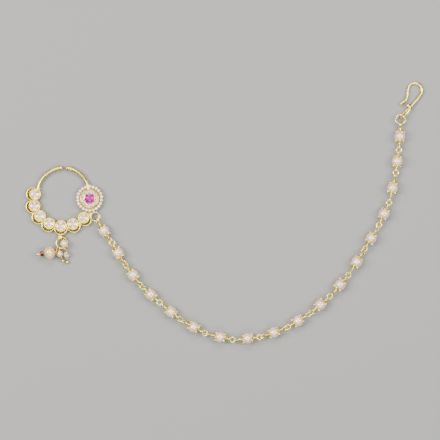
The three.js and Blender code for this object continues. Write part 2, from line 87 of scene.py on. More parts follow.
class Signal:
    def __init__(self, tree, socket=None):
        self.tree = tree
        self.socket = socket

    def node(self, kind, settings=None, inputs=None, output=0):
        made = self.tree.nodes.new(kind)
        for name, value in (settings or {}).items():
            if name == 'stops':
                ramp = made.color_ramp.elements
                for i, (place, colour) in enumerate(value):
                    stop = ramp[i] if i < 2 else ramp.new(place)
                    stop.position = place
                    stop.color = (*colour, 1)
            else:
                setattr(made, name, value)
        for name, value in (inputs or {}).items():
            if isinstance(value, Signal):
                self.tree.links.new(value.socket, made.inputs[name])
            else:
                made.inputs[name].default_value = value
        return Signal(self.tree, made.outputs[output])

    def maths(self, operation, a, b):
        return self.node('ShaderNodeMath', {'operation': operation}, {0: a, 1: b})

    def __add__(self, other):
        return self.maths('ADD', self, other)

    def __radd__(self, other):
        return self.maths('ADD', other, self)

    def __sub__(self, other):
        return self.maths('SUBTRACT', self, other)

    def __rsub__(self, other):
        return self.maths('SUBTRACT', other, self)

    def __mul__(self, other):
        return self.maths('MULTIPLY', self, other)

    def __rmul__(self, other):
        return self.maths('MULTIPLY', other, self)

    def noise(self, scale, detail=3.0, stretch=(1, 1, 1)):  # on a place, in patches 1 / scale metres wide
        place = self.node('ShaderNodeMapping', inputs={'Vector': self, 'Scale': stretch})
        return self.node('ShaderNodeTexNoise', inputs={'Vector': place, 'Scale': scale, 'Detail': detail})

    def step(self, low, high):  # 0 below low, 1 above high
        limits = {'Value': self, 'From Min': low, 'From Max': high}
        return self.node('ShaderNodeMapRange', {'interpolation_type': 'SMOOTHSTEP'}, limits)

    def blend(self, first, second):  # colours, by this mask
        colours = {'Factor': self, 6: first, 7: second}
        return self.node('ShaderNodeMix', {'data_type': 'RGBA'}, colours, output=2)

    def bump(self, depth, strength=1.0):
        return self.node('ShaderNodeBump', inputs={'Height': self, 'Distance': depth, 'Strength': strength})


def startMaterial(name, constants):
    material = bpy.data.materials.new(name)
    material.use_nodes = True
    tree = material.node_tree
    shader = tree.nodes['Principled BSDF']
    for socket, value in constants.items():
        shader.inputs[socket].default_value = value
    place = Signal(tree).node('ShaderNodeTexCoord', output='Object')
    return material, shader, place


inputNames = {'colour': 'Base Color', 'rough': 'Roughness', 'normal': 'Normal', 'coat': 'Coat Weight'}


def feed(shader, **signals):
    for name, signal in signals.items():
        signal.tree.links.new(signal.socket, shader.inputs[inputNames[name]])


def goldFinish(name, pale, deep, tarnishAndShadeColour, rough, recessPatinaAndShade=None):
    # the third colour is the olive film that stays where polishing doesn't reach, in random patches; the
    # recess entry gives heights in mm below which that colour also lies as painted shade in the hollows,
    # over dark oxide
    material, shader, place = startMaterial(name, {'Metallic': 1.0, 'IOR': 1.5})
    cloud = place.noise(420, 4)
    colour = cloud.step(0.38, 0.68).blend((*pale, 1), (*deep, 1))
    tarnishAndShadeMask = place.noise(1500, 3).step(0.52, 0.74) * 0.45
    if recessPatinaAndShade:
        # painted shade: below the recess heights the gold darkens towards the olive colour, with some real
        # oxide in the hollows
        height = place.node('ShaderNodeSeparateXYZ', inputs={0: place}, output='Z')
        low = 1 - height.step(recessPatinaAndShade[0] * mm, recessPatinaAndShade[1] * mm)
        tarnishAndShadeMask = tarnishAndShadeMask.maths('MAXIMUM', tarnishAndShadeMask, low * recessPatinaAndShade[2])
    colour = tarnishAndShadeMask.blend(colour, (*tarnishAndShadeColour, 1))
    scratches = place.noise(5200, 2, (1, 0.16, 1))
    dents = place.noise(1700, 2)
    feed(shader, colour=colour, rough=rough + tarnishAndShadeMask * 0.22 + scratches * 0.08,
         normal=(scratches * 0.35 + dents).bump(0.00005, 0.5))
    return material


def pearlFinish(name, bright, tint, dusk, scale=1.0):
    constants = {'Metallic': 0.3, 'Specular IOR Level': 0.62, 'Subsurface Weight': 0.08,
                 'Subsurface Scale': 0.6 * mm, 'Coat Roughness': 0.06, 'Coat IOR': 1.55,
                 'Thin Film Thickness': 340.0, 'Thin Film IOR': 1.45}
    material, shader, place = startMaterial(name, constants)
    patches = place.noise(260 * scale, 2)
    colour = patches.step(0.36, 0.62).blend((*bright, 1), (*tint, 1))
    growth = place.noise(900 * scale, 4, (1, 1, 2.4))
    colour = (growth.step(0.5, 0.78) * 0.55).blend(colour, (*dusk, 1))
    pores = place.noise(3600, 2)
    feed(shader, colour=colour, rough=0.22 + growth * 0.16, coat=0.95 - growth.step(0.55, 0.8) * 0.35,
         normal=(growth + pores * 0.2).bump(0.00004, 0.4))
    return material


def stoneFinish(name, light, dark, transmission, ior, speck, rough=0.03, scale=1.0):
    constants = {'Transmission Weight': transmission, 'IOR': ior}
    material, shader, place = startMaterial(name, constants)
    cells = {'Vector': place, 'Scale': 1500 * scale}
    # the Voronoi cells split the stone's tint into light and dark patches: painted facet reflections and
    # painted facet shade
    facets = place.node('ShaderNodeTexVoronoi', inputs=cells, output='Color')
    paintedFacetLightAndShade = facets.node('ShaderNodeSeparateColor', inputs={0: facets})
    colour = paintedFacetLightAndShade.step(0.1, 0.9).blend((*light, 1), (*dark, 1))
    flaws = place.noise(2600, 3).step(0.6, 0.76)
    colour = (flaws * 0.5).blend(colour, (*speck, 1))
    feed(shader, colour=colour, rough=rough + flaws * 0.1,
         normal=place.noise(1400, 1).bump(0.00002, 0.3))
    return material


finishes = {
    # the frame's olive colour darkens everything lower than 0.75 to 1.6 mm: painted shade in the plate's
    # hollows over dark oxide
    'frame': goldFinish('frameGold', (1.0, 0.85, 0.2), (0.95, 0.7, 0.1), (0.045, 0.035, 0.007), 0.2,
                        (0.75, 1.6, 0.94)),
    # near-black gold for the bezel grooves and the seed pearls' seat: painted shade, with some dark oxide
    'patinaAndShade': goldFinish('frameShade', (0.08, 0.052, 0.012), (0.055, 0.035, 0.01), (0.03, 0.02, 0.008),
                         0.22),
    'link': goldFinish('linkGold', (1.0, 0.85, 0.22), (0.94, 0.69, 0.1), (0.3, 0.17, 0.03), 0.17),
    'drop': goldFinish('dropGold', (1.0, 0.79, 0.2), (0.91, 0.58, 0.1), (0.3, 0.16, 0.03), 0.17),
    'pearl': pearlFinish('chainPearl', (0.88, 0.68, 0.44), (0.84, 0.53, 0.44), (0.3, 0.29, 0.15)),
    'creamPearl': pearlFinish('creamPearl', (0.88, 0.71, 0.28), (0.8, 0.54, 0.22), (0.42, 0.33, 0.12)),
    'seedPearl': pearlFinish('seedPearl', (0.97, 0.79, 0.57), (0.93, 0.67, 0.51), (0.6, 0.44, 0.28), 2.0),
    # in the stones below, the first colour is the stone's tint in painted facet light, the second the same
    # tint in painted facet shade
    'white': stoneFinish('whiteStone', (1.0, 0.98, 0.95), (1.0, 0.82, 0.88), 0.8, 1.6,
                         (0.95, 0.85, 0.88)),
    'foil': goldFinish('silverFoil', (1.0, 0.98, 0.96), (1.0, 0.93, 0.94), (0.9, 0.82, 0.84), 0.08),
    'ruby': stoneFinish('ruby', (0.66, 0.0, 0.6), (0.46, 0.0, 0.26), 0.7, 1.33, (0.25, 0.0, 0.16)),
    'rubyFoil': goldFinish('rubyFoil', (0.95, 0.04, 0.8), (0.8, 0.03, 0.5), (0.4, 0.02, 0.3), 0.12),
    'garnet': stoneFinish('garnet', (0.2, 0.01, 0.008), (0.09, 0.004, 0.005), 0.4, 1.7, (0.02, 0.0, 0.0)),
    'olive': stoneFinish('oliveBead', (0.3, 0.32, 0.1), (0.15, 0.17, 0.05), 0.5, 1.5, (0.05, 0.06, 0.02)),
    'crystal': stoneFinish('crystal', (1.0, 0.96, 0.76), (0.3, 0.28, 0.1), 0.5, 1.7, (0.95, 0.93, 0.8),
                           0.02, 0.6)
}
print('finishes ready')


# Shapes, each one closed, in the drawing's millimetres

def closeUp(shape):
    bmesh.ops.remove_doubles(shape, verts=shape.verts, dist=0.0005)
    bmesh.ops.dissolve_degenerate(shape, edges=shape.edges, dist=0.0002)
    bmesh.ops.recalc_face_normals(shape, faces=shape.faces)
    return shape


def turned(rows, steps, loop=False):  # rows of (radius, height), about Z
    shape = bmesh.new()
    verts = [shape.verts.new((radius, 0, height)) for radius, height in rows]
    edges = [shape.edges.new(pair) for pair in zip(verts, verts[1:])]
    if loop:
        edges.append(shape.edges.new((verts[-1], verts[0])))
    bmesh.ops.spin(shape, geom=verts + edges, cent=(0, 0, 0), axis=(0, 0, 1), angle=2 * pi, steps=steps,
                   use_merge=True)
    return closeUp(shape)


def ringOf(radius, wire, steps=40, sides=14):  # a closed ring of round wire, lying flat
    shape = bmesh.new()
    place = Matrix.Translation((radius, 0, 0)) @ Matrix.Rotation(pi / 2, 4, 'X')
    made = bmesh.ops.create_circle(shape, segments=sides, radius=wire / 2, matrix=place)
    geom = made['verts'] + list({edge for vert in made['verts'] for edge in vert.link_edges})
    bmesh.ops.spin(shape, geom=geom, cent=(0, 0, 0), axis=(0, 0, 1), angle=2 * pi, steps=steps,
                   use_merge=True)
    return closeUp(shape)


def ballOf(radius, segments=16):
    shape = bmesh.new()
    bmesh.ops.create_uvsphere(shape, u_segments=segments, v_segments=segments // 2 + 1, radius=radius)
    return shape


def wireAlong(points, wire, widths=None, loop=False, sides=4, fine=6):
    course = bpy.data.curves.new('course', 'CURVE')
    course.dimensions = '3D'
    course.bevel_depth = wire / 2
    course.bevel_resolution = sides
    course.resolution_u = fine
    course.use_fill_caps = True
    spline = course.splines.new('BEZIER')
    spline.bezier_points.add(len(points) - 1)
    spline.use_cyclic_u = loop
    for i, knot in enumerate(spline.bezier_points):
        knot.co = points[i]
        knot.handle_left_type = knot.handle_right_type = 'AUTO'
        knot.radius = widths[i] if widths else 1
    holder = bpy.data.objects.new('course', course)
    bpy.context.scene.collection.objects.link(holder)
    seen = holder.evaluated_get(bpy.context.evaluated_depsgraph_get())
    mesh = bpy.data.meshes.new_from_object(seen)
    shape = bmesh.new()
    shape.from_mesh(mesh)
    bpy.data.objects.remove(holder)
    bpy.data.meshes.remove(mesh)
    return closeUp(shape)


def placed(shape, *moves):
    for move in moves:
        bmesh.ops.transform(shape, matrix=move, verts=shape.verts)
    return shape


def shift(x, y, z=0.0):
    return Matrix.Translation((x, y, z))


def facing(start, towards):  # turns X that way and moves to start
    along = Vector(towards) - Vector(start)
    return Matrix.Translation(start) @ along.to_track_quat('X', 'Z').to_matrix().to_4x4()


def coated(shape, slot, below=None):  # faces take that material, or only those that look down
    for face in shape.faces:
        if below is None or face.normal.z < below:
            face.material_index = slot
    return shape


def fused(parts, cuts=(), slots=1):  # one closed body
    holder = bpy.data.collections.new('parts')
    tools = bpy.data.collections.new('cuts')
    made = []
    for i, shape in enumerate([*parts, *cuts]):
        mesh = bpy.data.meshes.new('part')
        shape.to_mesh(mesh)
        shape.free()
        for count in range(slots):
            mesh.materials.append(None)
        obj = bpy.data.objects.new('part', mesh)
        (tools if i >= len(parts) else holder if i else bpy.context.scene.collection).objects.link(obj)
        made.append(obj)
    for operation, operands in (('UNION', holder), ('DIFFERENCE', tools)):
        if operands.objects:
            join = made[0].modifiers.new(operation, 'BOOLEAN')
            join.operation = operation
            join.operand_type = 'COLLECTION'
            join.collection = operands
            join.solver = 'MANIFOLD'
    seen = made[0].evaluated_get(bpy.context.evaluated_depsgraph_get())
    mesh = bpy.data.meshes.new_from_object(seen)
    whole = bmesh.new()
    whole.from_mesh(mesh)
    for obj in made:
        bpy.data.meshes.remove(obj.data)
    for collection in (holder, tools):
        bpy.data.collections.remove(collection)
    bpy.data.meshes.remove(mesh)
    return whole


def keep(shape, name, node, materials, sharp=35):  # into the frame, riding with its node's body
    bmesh.ops.transform(shape, matrix=Matrix.Translation(drawing) @ Matrix.Scale(mm, 4), verts=shape.verts)
    mesh = bpy.data.meshes.new(name)
    shape.to_mesh(mesh)
    shape.free()
    for face in mesh.polygons:
        face.use_smooth = True
    mesh.set_sharp_from_angle(angle=radians(sharp))
    mesh.materials.clear()
    for material in materials:
        mesh.materials.append(finishes[material])
    piece = bpy.data.objects.new(name, mesh)
    bpy.context.scene.collection.objects.link(piece)
    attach(piece, 'root')
    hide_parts(node)
    return piece


def around(centreX, centreY, radius, angle):
    return centreX + radius * cos(radians(angle)), centreY + radius * sin(radians(angle))


# The nath's soldered gold: hoop, scalloped plate, bezels, rosette, chain eye and bail

nath = {
    'hoopX': -72.9, 'hoopY': 8.64, 'hoopRadius': 11.57, 'hoopWire': 1.46, 'hoopHeight': 1.6,
    'leftTip': 97.6, 'leftFoot': 172, 'rightTip': 77.0, 'rightFoot': 8,
    'scallopOut': 1.0, 'scallop': 3.1, 'rim': 0.5, 'plateFloor': 0.7, 'rimTop': 2.1,
    'bezel': 2.8, 'bezelTop': 2.8, 'beads': 28,
    'settings': [(181.4, 12.6), (203.3, 14.0), (224.1, 14.5), (245.0, 14.8), (266.2, 14.65), (288.0, 14.4),
                 (310.2, 14.25)],
    'chainRing': (-58.55, -1.76, 2.4), 'chainRingSize': (1.93, 0.66), 'chainPost': (-60.53, -0.79),
    'bridge': (-61.1, 0.1), 'ball': (10.75, 168.5, 0.42),
    'bail': (-74.2, -11.15, 1.45), 'bailRadius': 1.42, 'bailLength': 2.0, 'bailBore': 0.88,
    'bailShift': -0.34
}


def settingPlaces(out=0.0):
    return [around(nath['hoopX'], nath['hoopY'], radius + out, angle) for angle, radius in nath['settings']]


def scallopedPlate():
    bodies, wells = [], []
    floor, top, rim = nath['plateFloor'], nath['rimTop'], nath['rim']
    outer = [(0, 0), (nath['scallop'] - 0.12, 0), (nath['scallop'], 0.12), (nath['scallop'], top - 0.2),
             (nath['scallop'] - 0.07, top - 0.06), (nath['scallop'] - 0.2, top), (0, top)]
    inside = nath['scallop'] - rim
    inner = [(0, floor), (inside - 0.1, floor), (inside, floor + 0.12), (inside, top - 0.17),
             (inside + 0.06, top - 0.05), (inside + 0.19, top + 0.02), (inside + 0.19, top + 0.5),
             (0, top + 0.5)]
    for x, y in settingPlaces(nath['scallopOut']):
        bodies.append(placed(turned(outer, 56), shift(x, y)))
        wells.append(placed(turned(inner, 56), shift(x, y)))
    return fused(bodies, wells)


def bezelCup():  # a heavy rounded wall, a groove, and a fine beaded edge pressed over the stone
    edge, top = nath['bezel'], nath['bezelTop']
    rows = [(0, 0), (edge - 0.12, 0), (edge - 0.06, top - 0.35), (edge - 0.08, top - 0.14),
            (edge - 0.17, top - 0.03), (edge - 0.22, top), (edge - 0.29, top - 0.05),
            (edge - 0.32, top - 0.16), (2.46, top - 0.55), (2.22, top - 0.55), (2.2, top - 0.14),
            (2.15, top - 0.03), (2.07, top - 0.02), (2.0, top - 0.13), (1.98, 1.5), (0, 1.5)]
    cup = turned(rows, nath['beads'] * 2)
    for vert in cup.verts:
        away = hypot(vert.co.x, vert.co.y)
        count = round(atan2(vert.co.y, vert.co.x) / (pi / nath['beads']))
        if count % 2 and 1.99 < away < 2.21 and vert.co.z > top - 0.15:
            vert.co.z -= 0.12
    for face in cup.faces:
        # painted shade: the faces in the groove under the beaded edge take the near-black second finish,
        # with some dark oxide
        middle = face.calc_center_median()
        if middle.z > 1.6 and 2.2 < hypot(middle.x, middle.y) < edge - 0.3:
            face.material_index = 1
    return cup


def rosetteMetal():  # hollow back, dark seat for the seed pearls, the gold ring and the ruby's collet
    rows = [(0, 1.0), (3.6, 1.0), (3.6, 0), (5.8, 0), (5.9, 0.1), (5.9, 0.9), (5.8, 1.0), (4.3, 1.0),
            (4.28, 3.05), (4.24, 3.2), (4.14, 3.3), (4.03, 3.29), (3.95, 3.2), (3.9, 3.02), (3.82, 2.98),
            (3.8, 2.0), (2.43, 2.0), (2.42, 2.95), (2.38, 3.03), (2.3, 3.05), (2.25, 2.98), (2.24, 2.3),
            (0, 2.3)]
    metal = turned(rows, 72)
    # painted shade: the seat under the seed pearls takes the near-black second finish
    for face in metal.faces:
        middle = face.calc_center_median()
        if 0.95 < middle.z < 1.05 and hypot(middle.x, middle.y) > 4.3:
            face.material_index = 1
    return placed(metal, shift(rosette['x'], rosette['y']))


def hoopArc(first, last):
    count = 10
    angles = [first + (last - first) * i / count for i in range(count + 1)]
    points = [(*around(nath['hoopX'], nath['hoopY'], nath['hoopRadius'], angle), nath['hoopHeight'])
              for angle in angles]
    return wireAlong(points, nath['hoopWire'], sides=6)


def collar(rows, angle, way):  # turned along the hoop at its end
    x, y = around(nath['hoopX'], nath['hoopY'], nath['hoopRadius'], angle)
    heading = Matrix.Rotation(radians(angle + 90 * way), 4, 'Z')
    return placed(turned(rows, 28), turnX, heading, shift(x, y, nath['hoopHeight']))


def dropBail():  # a short tube under the middle stone, its bore set off centre towards the drops
    radius, half = nath['bailRadius'], nath['bailLength'] / 2
    shell = turned([(0, -half), (radius - 0.14, -half), (radius - 0.03, 0.1 - half), (radius, 0.25 - half),
                    (radius - 0.07, 0.4 - half), (radius - 0.05, 0), (radius - 0.07, half - 0.4),
                    (radius, half - 0.25), (radius - 0.03, half - 0.1), (radius - 0.14, half), (0, half)],
                   40)
    bore = turned([(0, -3), (nath['bailBore'], -3), (nath['bailBore'], 3), (0, 3)], 32)
    tube = fused([placed(shell, turnX)], [placed(bore, turnX, shift(0, nath['bailShift']))])
    return placed(tube, shift(*nath['bail']))


def nathFrame():
    cups = [placed(bezelCup(), shift(x, y)) for x, y in settingPlaces()]
    leftRows = [(0, -1.15), (0.95, -1.15), (1.15, -1.02), (1.22, -0.75), (1.18, -0.42), (1.0, -0.2),
                (0.8, -0.05), (1.0, 0.1), (1.18, 0.32), (1.22, 0.62), (1.12, 0.9), (0.9, 1.03),
                (0.4, 1.06), (0, 1.06)]
    rightRows = [(0, -1.15), (0.9, -1.15), (1.12, -1.0), (1.19, -0.72), (1.1, -0.44), (0.88, -0.26),
                 (0.8, -0.14), (1.05, 0.05), (1.08, 0.3), (0.92, 0.56), (0.62, 0.68), (0.54, 0.8),
                 (0.68, 0.95), (0.7, 1.12), (0.56, 1.36), (0.3, 1.62), (0, 1.78)]
    ringX, ringY, ringZ = nath['chainRing']
    post = turned([(0, 0), (0.7, 0), (0.7, ringZ - 0.05), (0.55, ringZ + 0.12), (0, ringZ + 0.15)], 24)
    bridge = turned([(0, 0), (1.85, 0), (1.9, 0.1), (1.9, 0.9), (1.82, 1.0), (0, 1.0)], 40)
    ballAway, ballAngle, ballRadius = nath['ball']
    ballX, ballY = around(nath['hoopX'], nath['hoopY'], ballAway, ballAngle)
    parts = [
        *cups,
        scallopedPlate(),
        rosetteMetal(),
        placed(bridge, shift(*nath['bridge'])),
        hoopArc(nath['leftTip'], nath['leftFoot']),
        hoopArc(nath['rightTip'], nath['rightFoot']),
        collar(leftRows, nath['leftTip'], -1),
        collar(rightRows, nath['rightTip'], 1),
        placed(ballOf(ballRadius), shift(ballX, ballY, 2.0)),
        placed(post, shift(*nath['chainPost'])),
        placed(ringOf(*nath['chainRingSize']), shift(ringX, ringY, ringZ)),
        dropBail()
    ]
    return keep(fused(parts, slots=2), 'nathMetal', 'nath_frame', ['frame', 'patinaAndShade'], 40)


nathFrame()
print('nath metal ready')


# Stones, cut the way a cutter does it: a round blank, then one plane for each facet

stones = {
    'white': {'radius': 1.95, 'girdle': 2.5, 'table': 0.52, 'crown': 0.4, 'pavilion': 0.62, 'mains': 8,
              'foil': 1},
    'ruby': {'radius': 2.3, 'girdle': 3.42, 'table': 0.5, 'crown': 0.6, 'pavilion': 0.6, 'mains': 12,
             'foil': 1},
    'accent': {'radius': 0.66, 'girdle': 2.95, 'table': 0.42, 'crown': 0.2, 'pavilion': 0.2, 'mains': 6,
               'foil': 1}
}


def cutStone(size):
    radius, crown, pavilion, mains = size['radius'], size['crown'], size['pavilion'], size['mains']
    stone = bmesh.new()
    bmesh.ops.create_cone(stone, cap_ends=True, segments=mains * 4, radius1=radius, radius2=radius,
                          depth=crown + pavilion, matrix=shift(0, 0, (crown - pavilion) / 2))
    table = radius * size['table']
    facets = []  # (angle, distance out, height) of a point on each, and how steep it is
    slope = atan2(crown - 0.06, radius - table)
    for i in range(mains):
        main = (i + 0.5) * 360 / mains
        facets.append((main, radius, 0.06, slope))
        facets.append((main - 180 / mains, table + 0.04 * radius, crown, slope * 0.62))
        facets.append((main, radius, -0.06, -atan2(pavilion - 0.06, radius * 0.96)))
        for side in (-1, 1):
            facets.append((main + side * 90 / mains, radius * 0.995, 0.05, slope * 1.32))
    for angle, out, height, steep in facets:
        normal = Vector((sin(abs(steep)), 0, cos(steep) if steep > 0 else -cos(steep)))
        normal.rotate(Matrix.Rotation(radians(angle), 4, 'Z'))
        point = Vector((*around(0, 0, out, angle), height))
        geom = stone.verts[:] + stone.edges[:] + stone.faces[:]
        cut = bmesh.ops.bisect_plane(stone, geom=geom, dist=0.0005, plane_co=point, plane_no=normal,
                                     clear_outer=True)
        rim = [part for part in cut['geom_cut'] if isinstance(part, bmesh.types.BMEdge)]
        if rim:
            bmesh.ops.contextual_create(stone, geom=rim)
    return placed(coated(closeUp(stone), size['foil'], -0.1), shift(0, 0, size['girdle']))


def whiteStones():
    for i, (x, y) in enumerate(settingPlaces()):
        roll = Matrix.Rotation(random.uniform(0, 0.7), 4, 'Z')
        stone = placed(cutStone(stones['white']), roll, shift(x, y))
        keep(stone, f'brilliant{i + 1}', f'white_stone_{i + 1}', ['white', 'foil'], 4)


def rubyStone():
    stone = placed(cutStone(stones['ruby']), shift(rosette['x'], rosette['y']))
    keep(stone, 'rubyStone', 'centre_ruby', ['ruby', 'rubyFoil'], 4)


def accentRing():  # thirteen small stones in a channel, with a grain of metal between each pair
    count = 13
    channel = [(2.5, 2.15), (3.7, 2.15), (3.76, 2.2), (3.76, 2.86), (3.68, 2.93), (3.6, 2.78),
               (2.6, 2.78), (2.56, 2.88), (2.5, 2.84)]
    parts = [coated(turned(channel, 78, loop=True), 2)]
    for i in range(count):
        angle = (i + 0.5) * 360 / count
        roll = Matrix.Rotation(random.uniform(0, 1), 4, 'Z')
        parts.append(placed(cutStone(stones['accent']), roll, shift(*around(0, 0, 3.14, angle))))
        grain = placed(ballOf(0.15, 10), shift(*around(0, 0, 3.56, angle + 180 / count), 2.92))
        parts.append(coated(grain, 2))
    ring = placed(fused(parts, slots=3), shift(rosette['x'], rosette['y']))
    keep(ring, 'accentRing', 'accent_stones', ['white', 'foil', 'link'], 20)


whiteStones()
rubyStone()
accentRing()
print('stones ready')


# Seed pearls round the rosette, on their thread

seeds = {'count': 21, 'circle': 5.4, 'height': 2.0, 'radius': 0.8, 'start': 99 + 21 / 2, 'span': 360 - 21}


def seedPearls():
    pitch = seeds['span'] / seeds['count']
    parts = []
    thread = []
    for i in range(seeds['count'] + 1):
        angle = seeds['start'] + pitch * i
        x, y = around(0, 0, seeds['circle'] + random.uniform(-0.05, 0.05), angle)
        thread.append((*around(0, 0, seeds['circle'], angle), seeds['height']))
        squash = Matrix.Diagonal((random.uniform(1.0, 1.08), random.uniform(0.95, 1.0),
                                  random.uniform(0.92, 1.0), 1))
        turn = Matrix.Rotation(radians(angle), 4, 'Z')
        parts.append(placed(ballOf(seeds['radius'] * random.uniform(0.96, 1.02), 20), squash, turn,
                            shift(x, y, seeds['height'])))
    parts.append(wireAlong(thread, 0.36, sides=2))
    string = placed(fused(parts), shift(rosette['x'], rosette['y']))
    keep(string, 'seedPearls', 'seed_pearl_ring', ['seedPearl'], 50)


seedPearls()
print('seed pearls ready')


# The chain: each pearl on its own pin, from the eye of the nath to the hook's ring

chain = {
    'pearl': 2.475, 'hole': 0.6, 'wire': 0.66, 'shank': 0.42, 'loop': 1.15, 'overlap': 0.45, 'petals': 5,
    'petalTip': 41, 'petalNotch': 36, 'grain': 0.53,
    'start': (-58.55, -1.76), 'startRadius': 1.93, 'end': (78.89, 41.94), 'endRadius': 2.16,
    'places': [  # centre of each pearl, and how far its head and tail loops roll from flat
        (-55.0, -8.2, 60, 60), (-48.0, -17.9, -15, 40), (-41.9, -28.2, -35, 40), (-33.2, -36.8, -35, 0),
        (-24.4, -44.6, 90, 10), (-14.3, -51.4, -65, 5), (-2.3, -56.1, 80, 10), (10.2, -56.6, 95, -20),
        (21.8, -53.7, 55, 50), (32.9, -48.8, -25, 40), (42.6, -41.3, -40, 5), (52.0, -32.5, 80, 10),
        (59.1, -22.2, 90, 40), (65.6, -11.4, -40, 60), (71.6, -0.6, -15, 0), (75.4, 11.2, 85, 75),
        (77.3, 23.1, 0, 0), (79.1, 34.5, 90, 80)]
}


def chainJoints():  # where two loops meet, a little outside the line between their pearls
    centres = [Vector(place[:2]) for place in chain['places']]
    last = len(centres) - 1
    bends = []
    for i in range(last + 1):
        inside = min(max(i, 1), last - 1)
        bends.append(centres[inside - 1] + centres[inside + 1] - 2 * centres[inside])
    start, end = Vector(chain['start']), Vector(chain['end'])
    joints = [start + (centres[0] - start).normalized() * chain['startRadius']]
    for i in range(1, last + 1):
        joints.append((centres[i - 1] + centres[i]) / 2 - bends[i - 1] / 8 - bends[i] / 8)
    joints.append(end + (centres[last] - end).normalized() * chain['endRadius'])
    return joints


def drilledPearl(across, along, hole, steps=40, bands=22):
    cut = asin(hole / across)
    rows = [(hole * 0.86, -along * cos(cut) + 0.12), (hole, -along * cos(cut))]
    for i in range(1, bands):
        angle = cut + (pi - 2 * cut) * i / bands
        rows.append((across * sin(angle), -along * cos(angle)))
    rows += [(hole, along * cos(cut)), (hole * 0.86, along * cos(cut) - 0.12)]
    return placed(turned(rows, steps, loop=True), turnX)


def petalCap(ball, petals, tip, notch, neck=0.5):  # a leaf-edged cup over a pearl, about Z
    near, far = ball + 0.12, ball + 0.4
    start = asin(neck / far)
    rows = []
    for i in range(7):
        angle = start + (radians(tip) - start) * i / 6
        thick = far - (far - near - 0.1) * (i / 6) ** 2
        rows.append((sin(angle) * thick, cos(angle) * thick))
    for i in range(6, -1, -1):
        angle = start + (radians(tip) - start) * i / 6
        rows.append((sin(angle) * near, cos(angle) * near))
    cap = turned(rows, petals * 12, loop=True)
    for vert in cap.verts:
        out = hypot(vert.co.x, vert.co.y)
        angle, reach = atan2(out, vert.co.z), vert.co.length
        lobe = abs(cos(atan2(vert.co.y, vert.co.x) * petals / 2)) ** 0.5
        drawn = start + (angle - start) * (notch + (tip - notch) * lobe) / tip
        vert.co = Vector((vert.co.x / out * sin(drawn), vert.co.y / out * sin(drawn), cos(drawn))) * reach
    return cap


def capGrains(ball, petals, tip, radius):  # the shiny grain at the end of each petal
    grains = []
    for i in range(petals):
        x, y = around(0, 0, sin(radians(tip)) * (ball + 0.28), i * 360 / petals)
        grains.append(placed(ballOf(radius, 14), shift(x, y, cos(radians(tip)) * (ball + 0.28))))
    return grains


def loopOf(radius, wire):  # an eye that closes on the shank, in the XY plane, with the shank at -X
    points = [(-radius - 0.05, 0.0, 0)]
    for angle in range(-150, 151, 30):
        points.append((radius * cos(radians(angle)), radius * sin(radians(angle)), 0))
    return wireAlong(points, wire, loop=True, sides=4, fine=3)


def pinHalf(reach, roll, spin):  # from the pearl's middle to its loop, along X
    middle = reach - chain['loop']
    neck = middle - chain['loop']
    half = [turned([(0, -0.3), (chain['shank'], -0.3), (chain['shank'], neck + 0.1), (0, neck + 0.1)], 20)]
    half.append(petalCap(chain['pearl'], chain['petals'], chain['petalTip'], chain['petalNotch']))
    half += capGrains(chain['pearl'], chain['petals'], chain['petalTip'], chain['grain'])
    half.append(placed(turned([(0, -0.2), (0.62, -0.16), (0.66, 0), (0.56, 0.16), (0, 0.2)], 24),
                       shift(0, 0, chain['pearl'] + 0.42)))
    turns = int((neck - chain['pearl'] - 0.5) / 0.36)
    for i in range(turns):
        half.append(placed(ringOf(0.4, 0.38, 22, 10), Matrix.Rotation(0.12, 4, 'Y'),
                           shift(0, 0, neck - 0.12 - 0.36 * i)))
    for part in half:
        placed(part, Matrix.Rotation(spin, 4, 'Z'), turnX)
    half.append(placed(loopOf(chain['loop'], chain['wire']), Matrix.Rotation(radians(roll), 4, 'X'),
                       shift(middle, 0)))
    return half


def pearlChain():
    joints = chainJoints()
    overlap = chain['overlap']
    for i, (x, y, headRoll, tailRoll) in enumerate(chain['places']):
        start, end = joints[i], joints[i + 1]
        half = (end - start).length / 2
        headReach = half + overlap * (2 if i == 0 else 1)
        tailReach = half + overlap * (2 if i == len(chain['places']) - 1 else 1)
        middle = (start + end) / 2
        heading = Matrix.Rotation(atan2(end.y - start.y, end.x - start.x), 4, 'Z')
        lie = shift(*middle, chain['pearl']) @ heading
        head = pinHalf(headReach, -headRoll, pi + random.uniform(-0.3, 0.3))
        head = [placed(part, Matrix.Rotation(pi, 4, 'Z')) for part in head]
        pin = fused(head + pinHalf(tailReach, tailRoll, random.uniform(-0.3, 0.3)))
        keep(placed(pin, lie), f'pin{i + 1:02d}', f'chain_pin_{i + 1:02d}', ['link'], 42)
        ball = drilledPearl(chain['pearl'], chain['pearl'] * random.uniform(0.97, 1.0), chain['hole'])
        roll = Matrix.Rotation(random.uniform(0, 6), 4, 'X')
        keep(placed(ball, roll, lie), f'pearl{i + 1:02d}', f'chain_pearl_{i + 1:02d}', ['pearl'],
             50)


pearlChain()
print('pearl chain ready')


# The hook: hammered wire, its wrapped eye, and the ring it hangs from

hook = {
    'wire': 1.08, 'arcX': 85.45, 'arcY': 55.2, 'arc': 3.15, 'top': 0.56, 'rise': 0.085,
    'shank': [(83.0, 46.8, 1.0), (84.7, 49.0, 1.0), (86.1, 50.55, 1.0), (87.4, 52.25, 1.04)],
    'point': [(82.05, 53.0, 0.98), (81.5, 51.1, 0.98), (80.5, 49.9, 1.0), (79.35, 49.2, 1.02),
              (79.1, 49.0, 0.94)],
    'dents': [(86.35, 57.75), (87.15, 57.2), (87.75, 56.5), (88.3, 57.0)],
    'neck': (83.3, 47.2), 'eyeEnd': (79.35, 42.8, 1.58), 'eyeWire': 0.9, 'eyeHalf': 1.22, 'lean': 64,
    'tail': 133, 'ring': (78.89, 41.94, 2.0), 'ringRadius': 2.16, 'ringWire': 0.72, 'tilt': 10
}


def onHook(x, y):
    return Vector((x, y, hook['top'] + hook['rise'] * (hook['arcY'] + hook['arc'] - y)))


